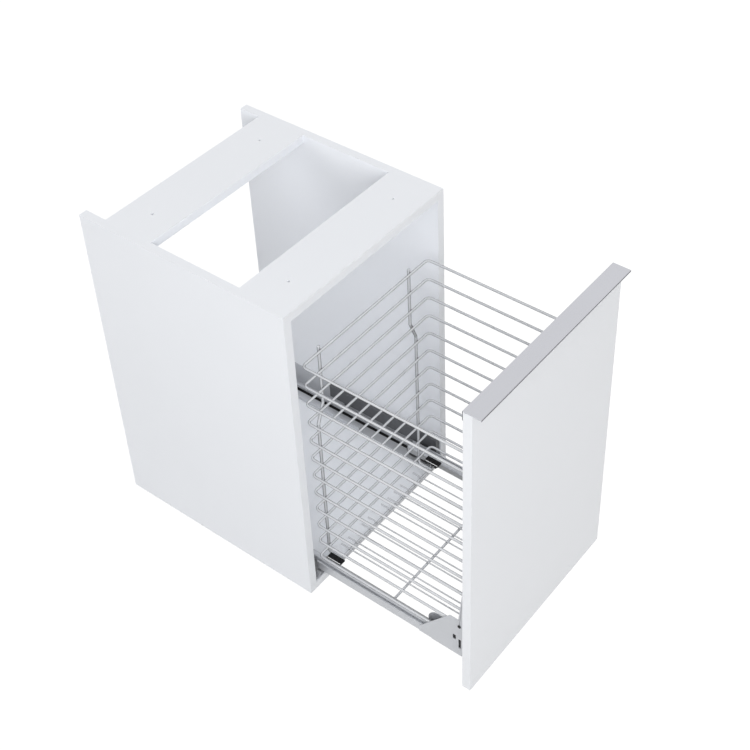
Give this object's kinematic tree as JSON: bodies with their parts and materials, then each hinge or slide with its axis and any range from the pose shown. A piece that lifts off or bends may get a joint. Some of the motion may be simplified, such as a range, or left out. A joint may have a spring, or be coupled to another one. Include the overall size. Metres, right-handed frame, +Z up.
{
  "type": "pull-out base cabinet",
  "caption": "White kitchen base cabinet whose gloss front pulls out a tall wire basket on bottom-mounted runners.",
  "frame": {"origin": "centre of the carcass footprint, on its underside", "axes": "+Z up, +X to the right seen from the front, the front faces -Y, and the drawer closes along +Y"},
  "size_m": [0.45, 0.8897, 0.72],
  "materials": {
    "carcass_board": "white melamine, satin",
    "edge_band": "white edge banding, satin",
    "front_board": "white, high gloss",
    "beech": "plain beech",
    "zinc_steel": "zinc-plated sheet",
    "fixing_steel": "zinc-plated",
    "wire_steel": "silver powder coat",
    "handle_aluminium": "brushed, anodised",
    "dark_plastic": "dark grey moulded",
    "black_plastic": "black moulded",
    "roller_nylon": "black nylon",
    "pad_rubber": "pale translucent"
  },
  "bodies": {
    "carcass": {"side_panel_left": "carcass_board", "side_panel_right": "carcass_board", "bottom_panel": "carcass_board", "front_stretcher": "carcass_board", "rear_stretcher": "carcass_board", "edge_bands": "edge_band", "dowels": "beech", "cam_bolts": "fixing_steel", "cam_discs": "fixing_steel", "profile_screws": "fixing_steel", "cabinet_profile_left": "zinc_steel", "damper_housing_left": "dark_plastic", "damper_cylinder_left": "black_plastic", "cabinet_profile_right": "zinc_steel", "damper_housing_right": "dark_plastic", "damper_cylinder_right": "black_plastic"},
    "drawer": {"strip_rivets": "fixing_steel", "rod_clips": "dark_plastic", "cross_wires": "wire_steel", "floor_wires": "wire_steel", "basket_loop_1": "wire_steel", "basket_loop_2": "wire_steel", "basket_loop_3": "wire_steel", "basket_loop_4": "wire_steel", "basket_loop_5": "wire_steel", "basket_loop_6": "wire_steel", "basket_loop_7": "wire_steel", "basket_loop_8": "wire_steel", "basket_loop_9": "wire_steel", "basket_loop_10": "wire_steel", "basket_loop_11": "wire_steel", "basket_loop_12": "wire_steel", "front_panel": "front_board", "handle_profile": "handle_aluminium", "handle_screws": "fixing_steel", "front_screws": "fixing_steel", "bumper_pads": "pad_rubber", "drawer_profile_left": "zinc_steel", "guide_shoe_left": "black_plastic", "rail_clip_left": "black_plastic", "front_bracket_left": "zinc_steel", "upright_strip_left": "zinc_steel", "rear_rod_left": "wire_steel", "front_rod_left": "wire_steel", "drawer_profile_right": "zinc_steel", "guide_shoe_right": "black_plastic", "rail_clip_right": "black_plastic", "front_bracket_right": "zinc_steel", "upright_strip_right": "zinc_steel", "rear_rod_right": "wire_steel", "front_rod_right": "wire_steel"},
    "carriage_left": {"roller_carriage_left": "dark_plastic"},
    "front_roller_left": {"front_roller_left": "roller_nylon"},
    "rear_roller_left": {"rear_roller_left": "roller_nylon"},
    "plunger_left": {"damper_plunger_left": "black_plastic"},
    "carriage_right": {"roller_carriage_right": "dark_plastic"},
    "front_roller_right": {"front_roller_right": "roller_nylon"},
    "rear_roller_right": {"rear_roller_right": "roller_nylon"},
    "plunger_right": {"damper_plunger_right": "black_plastic"}
  },
  "joints": [
    {"name": "drawer_slide", "type": "slide", "parent": "carcass", "child": "drawer", "axis": [0, 1, 0], "range_m": [0, 0.3627]},
    {"name": "carriage_slide_left", "type": "slide", "parent": "carcass", "child": "carriage_left", "axis": [0, 1, 0], "range_m": [0, 0.182]},
    {"name": "front_roller_spin_left", "type": "hinge", "parent": "carriage_left", "child": "front_roller_left", "pos_m": [-0.173, -0.2255, 0.0347], "axis": [-1, 0, 0], "range_deg": [0, 700]},
    {"name": "rear_roller_spin_left", "type": "hinge", "parent": "carriage_left", "child": "rear_roller_left", "pos_m": [-0.173, -0.1945, 0.0347], "axis": [-1, 0, 0], "range_deg": [0, 700]},
    {"name": "plunger_slide_left", "type": "slide", "parent": "carcass", "child": "plunger_left", "axis": [0, 1, 0], "range_m": [0, 0.045]},
    {"name": "carriage_slide_right", "type": "slide", "parent": "carcass", "child": "carriage_right", "axis": [0, 1, 0], "range_m": [0, 0.182]},
    {"name": "front_roller_spin_right", "type": "hinge", "parent": "carriage_right", "child": "front_roller_right", "pos_m": [0.173, -0.2255, 0.0347], "axis": [-1, 0, 0], "range_deg": [0, 700]},
    {"name": "rear_roller_spin_right", "type": "hinge", "parent": "carriage_right", "child": "rear_roller_right", "pos_m": [0.173, -0.1945, 0.0347], "axis": [-1, 0, 0], "range_deg": [0, 700]},
    {"name": "plunger_slide_right", "type": "slide", "parent": "carcass", "child": "plunger_right", "axis": [0, 1, 0], "range_m": [0, 0.045]}
  ],
  "couplings": [
    {"joint": "carriage_slide_left", "follows": "drawer_slide", "ratio": 0.5},
    {"joint": "front_roller_spin_left", "follows": "drawer_slide", "rad_per_m": 33.557},
    {"joint": "rear_roller_spin_left", "follows": "drawer_slide", "rad_per_m": 33.557},
    {"joint": "carriage_slide_right", "follows": "drawer_slide", "ratio": 0.5},
    {"joint": "front_roller_spin_right", "follows": "drawer_slide", "rad_per_m": 33.557},
    {"joint": "rear_roller_spin_right", "follows": "drawer_slide", "rad_per_m": 33.557}
  ]
}
